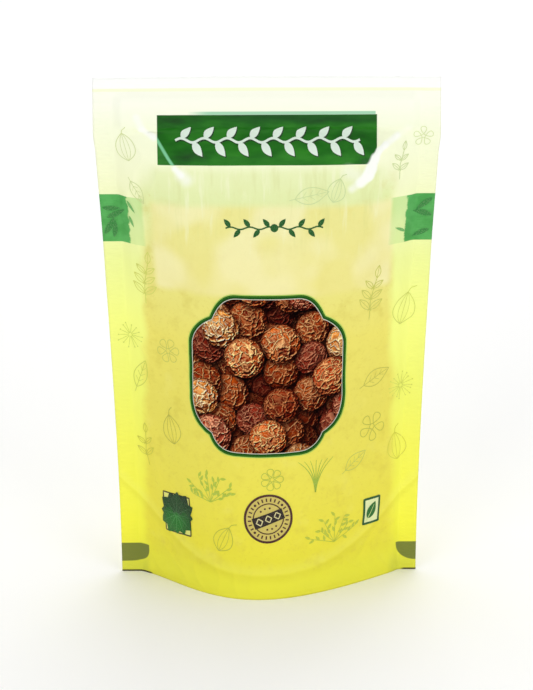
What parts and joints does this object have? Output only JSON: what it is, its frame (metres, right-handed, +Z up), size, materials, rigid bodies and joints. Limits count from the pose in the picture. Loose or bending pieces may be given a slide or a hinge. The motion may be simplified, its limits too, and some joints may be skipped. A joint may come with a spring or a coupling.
{
  "type": "stand-up pouch",
  "caption": "Filled stand-up food pouch of translucent film with side and top heat seals, a bottom gusset and a press-to-close zip, holding dried berries.",
  "frame": {"origin": "on the table, under the middle of the pouch", "axes": "+Z up, the printed front faces -Y, +X to the right as seen from the front"},
  "size_m": [0.15, 0.0672, 0.23],
  "materials": {
    "printed_film": "soft satin laminate, translucent, white at the top running to yellow at the bottom",
    "gusset_film": "soft satin laminate, plain yellow",
    "zip_plastic": "milky natural polyethylene",
    "dried_fruit": "dry wrinkled fruit skin"
  },
  "bodies": {
    "root": {"front_film": "printed_film", "back_film": "printed_film", "gusset_film": "gusset_film", "zip_ridge_strip": "zip_plastic", "zip_groove_strip": "zip_plastic", "dried_berry_filling": "dried_fruit"}
  },
  "joints": []
}
